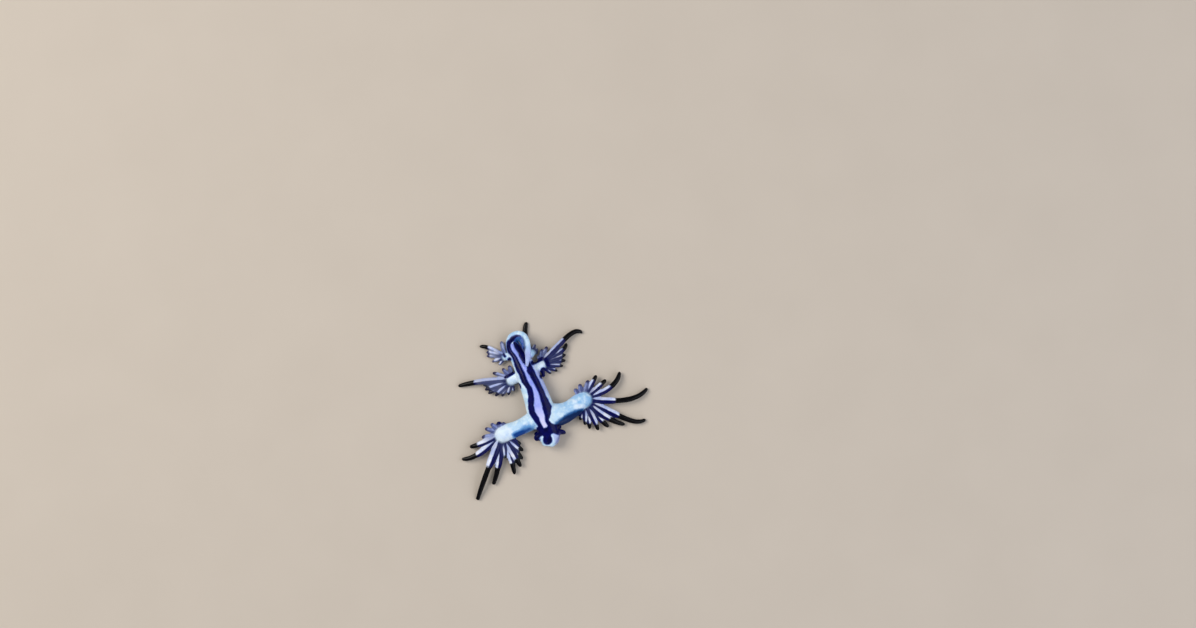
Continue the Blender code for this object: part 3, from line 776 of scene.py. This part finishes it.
def mark_skin(mesh):
    """Stores the markings in the mesh, shapes it by them, and turns it from millimetres to metres."""
    points = vertex_values(mesh, "co")
    normals = vertex_values(mesh, "normal")
    body = body_fields(points)
    marks = find_markings(points, normals, body)
    points += normals * relief(points, normals[:, 2], body)[:, None]
    points[:, 2] = np.maximum(points[:, 2], 0)
    mesh.vertices.foreach_set("co", (points * MM).ravel())
    for name, values in marks.items():
        attribute = mesh.attributes.new(name, "FLOAT", "POINT")
        attribute.data.foreach_set("value", values.astype(np.float32))
    mesh.update()
    return list(marks)


def linear(code):
    """A hex colour as linear red, green, blue and alpha."""
    parts = [int(code[i:i + 2], 16) / 255 for i in (1, 3, 5)]
    return (*(c / 12.92 if c <= 0.04045 else ((c + 0.055) / 1.055) ** 2.4 for c in parts), 1)


def node(tree, kind, settings=None, output=0, **links):
    """Adds a node with its settings, sets its sockets or joins them to other nodes, and gives its output."""
    made = tree.nodes.new("ShaderNode" + kind)
    for key, value in (settings or {}).items():
        setattr(made, key, value)
    for key, value in links.items():
        number = key.lstrip("i")
        socket = made.inputs[int(number) if number.isdigit() else key.replace("_", " ")]
        if isinstance(value, bpy.types.NodeSocket):
            tree.links.new(value, socket)
        else:
            socket.default_value = linear(value) if isinstance(value, str) else value
    return made.outputs[output] if len(made.outputs) else None


# Settings that more than one node has, and the output at which a mixed colour comes out.
COLOURS = {"data_type": "RGBA"}
COLOURS_OUT = 2
SOFT_STEP = {"interpolation_type": "SMOOTHSTEP"}
SUBTRACT = {"operation": "SUBTRACT"}
MULTIPLY = {"operation": "MULTIPLY"}
MULTIPLY_ADD = {"operation": "MULTIPLY_ADD"}


def empty_material(name):
    """A new material without nodes, and its node tree."""
    made = bpy.data.materials.new(name)
    made.use_nodes = True
    made.node_tree.nodes.clear()
    return made, made.node_tree


def skin_material(marks):
    """Wet sea slug skin: thin, slightly see-through and silvery, under a clear wet film of slime."""
    made, tree = empty_material("wet_sea_slug_skin")
    place = node(tree, "TexCoord", output="Object")
    at = {name: node(tree, "Attribute", {"attribute_name": name}, "Fac") for name in marks}
    clouds = node(tree, "TexNoise", Vector=place, Scale=PER_METRE / CLOUD_SIZE, Detail=4.0, Roughness=0.55)
    pimples = node(tree, "TexNoise", Vector=place, Scale=PER_METRE / PIMPLE_SIZE, Detail=4.0, Roughness=0.6)
    grains = node(tree, "TexNoise", Vector=place, Scale=PER_METRE / GRAIN_SIZE, Detail=2.0, Roughness=0.55)

    def painted(base, coat, depth, low, high, share=1.0):
        """Paints a coat over a base: nothing where depth is low, and its whole share where depth is high."""
        amount = node(
            tree, "MapRange", SOFT_STEP, Value=depth, From_Min=low, From_Max=high, To_Min=0.0, To_Max=1.0,
        )
        if share != 1.0:
            amount = node(tree, "Math", MULTIPLY, i0=amount, i1=share)
        return node(tree, "Mix", COLOURS, COLOURS_OUT, i0=amount, i6=base, i7=coat)

    def waved(depth, waves, swing):
        """Moves a marking's edge in and out by a noise, by half of swing at most."""
        offset = node(tree, "Math", SUBTRACT, i0=waves, i1=0.5)
        return node(tree, "Math", MULTIPLY_ADD, i0=offset, i1=swing, i2=depth)

    # Pale ground: ice white, bluer on the arms and one palm, lilac in places, which on the trunk's right side
    # is painted shade, white on the palms, and silver grey on the back.
    ground = painted("#dcf0fd", "#b8daf6", clouds, 0.32, 0.68)
    ground = painted(ground, "#82b6e6", clouds, 0.2, 0.6, at["sky"])
    lilac_and_shade = painted("#8f9ade", "#b6c0f2", clouds, 0.3, 0.7)
    ground = node(tree, "Mix", COLOURS, COLOURS_OUT, i0=at["lilac_and_shade"], i6=ground, i7=lilac_and_shade)
    white = painted("#dcedfd", "#c4dbf8", clouds, 0.4, 0.7)
    ground = painted(ground, white, waved(at["white"], clouds, 0.5), -0.35, 0.25)
    grey = painted("#92a0be", "#adbad4", pimples, 0.3, 0.7)
    ground = node(tree, "Mix", COLOURS, COLOURS_OUT, i0=at["back"], i6=ground, i7=grey)

    # The sole is lilac, and whiter towards the head.
    sole = painted("#8c9cf4", "#aebafc", clouds, 0.3, 0.7)
    sole = painted(sole, "#d8d8fd", waved(at["along"], clouds, 2.0), 9.5, 5.0)
    ground = painted(ground, sole, waved(at["sole"], clouds, 0.25), -0.1, 0.14)

    # Deep blue patches on the front of both arms, with soft edges.
    left = waved(at["patch_left"], clouds, 0.8)
    ground = painted(ground, painted("#6ba2dc", "#0f4390", left, -0.1, 0.8), left, -0.7, 0.1)
    right = waved(at["patch_right"], clouds, 0.7)
    ground = painted(ground, painted("#2a66a8", "#082656", right, -0.05, 0.5), right, -0.35, 0.15)

    # Painted shade on the inner side of the tail's hook: blue, and dark navy along the tail's tip.
    hook_shade = waved(at["hook_shade"], clouds, 0.5)
    hook_shade_colour = painted("#11407f", painted("#215498", "#4a80c4", clouds, 0.35, 0.65), hook_shade, 0.1, 0.8)
    hook_shade_colour = painted(hook_shade_colour, "#061a50", waved(at["along"], clouds, 1.0), 27.3, 28.3)
    ground = painted(ground, hook_shade_colour, hook_shade, -0.25, 0.3)

    # Navy stripes, head band and feelers, with a thin blue border except on the right arm's patch.
    navy = waved(waved(at["navy"], clouds, 0.3), pimples, 0.07)
    off_patch = node(
        tree, "MapRange", SOFT_STEP, Value=right, From_Min=0.0, From_Max=-0.4, To_Min=0.0, To_Max=1.0,
    )
    ground = painted(ground, "#3c58b4", navy, -0.22, 0.02, off_patch)
    ground = painted(ground, painted("#000136", "#02065a", clouds, 0.3, 0.8), navy, -0.08, 0.1)
    # Painted shade: a grey line along the right cheek's edge.
    ground = painted(ground, "#5a5690", at["cheek"], -0.35, 0.15, 0.6)

    # A ceras: silver along one side, dusky blue-grey where painted shade falls, navy along the other, and
    # black towards the tip, unless it is faint.
    silver = painted("#e6ecfc", "#bccaf4", clouds, 0.35, 0.65)
    shaded_ceras_colour = painted("#4f5d9a", "#7888c2", clouds, 0.35, 0.65)
    ceras = node(tree, "Mix", COLOURS, COLOURS_OUT, i0=at["ceras_shade"], i6=silver, i7=shaded_ceras_colour)
    strength = node(tree, "Math", MULTIPLY_ADD, i0=at["faint"], i1=-0.6, i2=1.0)
    ceras = painted(ceras, "#02054c", waved(at["fringe"], clouds, 0.2), -0.09, 0.09, strength)
    black = node(tree, "Mix", COLOURS, COLOURS_OUT, i0=at["faint"], i6="#020104", i7="#3c3a66")
    ceras = painted(ceras, black, waved(at["tip"], clouds, 0.6), -0.22, 0.18)
    colour = node(tree, "Mix", COLOURS, COLOURS_OUT, i0=at["ceras"], i6=ground, i7=ceras)

    # Tiny silvery grains in the skin.
    colour = painted(colour, "#dfe8ff", grains, 0.62, 0.74, 0.045)

    # Fine creases across the foot, and fine pimples and grains everywhere.
    stretched = node(tree, "Math", MULTIPLY, i0=at["across"], i1=0.3)
    foot = node(tree, "CombineXYZ", X=at["along"], Y=stretched)
    creases = node(tree, "TexNoise", Vector=foot, Scale=1 / CREASE_SPACING, Detail=3.0, Roughness=0.5)
    creases = node(tree, "Math", MULTIPLY, i0=creases, i1=at["trunk"])
    height = node(tree, "Math", MULTIPLY_ADD, i0=grains, i1=0.2, i2=creases)
    height = node(tree, "Math", MULTIPLY_ADD, i0=pimples, i1=0.5, i2=height)
    bump = node(tree, "Bump", Strength=0.5, Distance=0.08 * MM, Height=height)

    # A wet gloss that varies a little, under the clear film.
    roughness = node(tree, "MapRange", Value=pimples, From_Min=0.3, From_Max=0.7, To_Min=0.3, To_Max=0.48)
    shader = node(
        tree, "BsdfPrincipled", Base_Color=colour, Roughness=roughness, Normal=bump,
        IOR=1.36, Specular_IOR_Level=0.08, Subsurface_Weight=0.06, Subsurface_Radius=(0.5, 0.7, 1.0),
        Subsurface_Scale=0.2 * MM, Coat_Weight=0.3, Coat_Roughness=0.08, Coat_IOR=1.33,
    )
    node(tree, "OutputMaterial", Surface=shader)
    return made


def make_skin():
    """The slug's skin, which stands for every node."""
    mesh = skin_mesh()
    mesh.name = "slug_skin"
    marks = mark_skin(mesh)
    mesh.materials.clear()
    mesh.materials.append(skin_material(marks))
    mesh.shade_smooth()
    skin = add_object(mesh)
    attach(skin, "root")
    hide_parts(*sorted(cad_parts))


# The floor, in metres from its middle to its edge, and the size of the clouds of tone on it.
FLOOR_REACH = 1.5
FLOOR_CLOUD_SIZE = 1 / 60


def floor_material():
    """Pale matt card: almost no shine, and faint clouds of tone, so that it isn't one flat colour."""
    made, tree = empty_material("pale_matt_card")
    place = node(tree, "TexCoord", output="Object")
    clouds = node(tree, "TexNoise", Vector=place, Scale=1 / FLOOR_CLOUD_SIZE, Detail=3.0)
    tone = node(tree, "Mix", COLOURS, COLOURS_OUT, i0=clouds, i6="#c2b8ac", i7="#c8beb2")
    shader = node(tree, "BsdfPrincipled", Base_Color=tone, Roughness=0.9, Specular_IOR_Level=0.2)
    node(tree, "OutputMaterial", Surface=shader)
    return made


def make_floor():
    """The floor that the slug lies on."""
    bm = bmesh.new()
    bmesh.ops.create_grid(bm, x_segments=2, y_segments=2, size=FLOOR_REACH)
    mesh = bpy.data.meshes.new("floor")
    bm.to_mesh(mesh)
    bm.free()
    mesh.materials.append(floor_material())
    floor = add_object(mesh)


# The camera looks straight down. Its frame is 239 mm wide at the height of the slug's middle. The frame's own
# middle is to the slug's right and behind it, and the frame is turned so that the tail leans to the left.
PIXEL = 0.2
PICTURE_WIDTH = 1196 * PIXEL
SLUG_MIDDLE = 2.0
CAMERA_HEIGHT = 300.0  # above the slug's middle
CAMERA_SPOT = (16.59, 11.87)
CAMERA_TURN = -17.0
SENSOR = 36.0


def make_camera():
    """The camera, at the angle and distance that give the picture's framing."""
    data = bpy.data.cameras.new("camera")
    data.sensor_width = SENSOR
    data.lens = SENSOR * CAMERA_HEIGHT / PICTURE_WIDTH
    data.clip_start = 0.01
    data.clip_end = 10
    camera = add_object(data)
    camera.location = Vector((*CAMERA_SPOT, CAMERA_HEIGHT + SLUG_MIDDLE)) * MM
    camera.rotation_euler = (0, 0, math.radians(CAMERA_TURN))
    bpy.context.scene.camera = camera


# The soft square lights that face the slug: place, side, watts and colour.
LIGHTS = {
    "key": ((-300, 260, 420), 340, 2.5, "#fffaf2"),
    "fill": ((420, -120, 400), 520, 1.7, "#f2f6ff"),
    "rim": ((60, -420, 200), 200, 0.3, "#f2f6ff"),
}
ROOM_COLOUR = "#eceef2"
ROOM_STRENGTH = 0.32


def make_lights():
    """The three soft lights and the even light of the room."""
    for name, (place, side, watts, colour) in LIGHTS.items():
        data = bpy.data.lights.new(name, "AREA")
        data.size = side * MM
        data.energy = watts
        data.color = linear(colour)[:3]
        light = add_object(data)
        light.location = Vector(place) * MM
        light.rotation_mode = "QUATERNION"
        light.rotation_quaternion = (-light.location).to_track_quat("-Z", "Y")
    world = bpy.data.worlds.new("studio")
    world.use_nodes = True
    room = world.node_tree.nodes["Background"].inputs
    room["Color"].default_value = linear(ROOM_COLOUR)
    room["Strength"].default_value = ROOM_STRENGTH
    bpy.context.scene.world = world
    bpy.context.scene.view_settings.view_transform = "Standard"


make_floor()
make_skin()
make_camera()
make_lights()
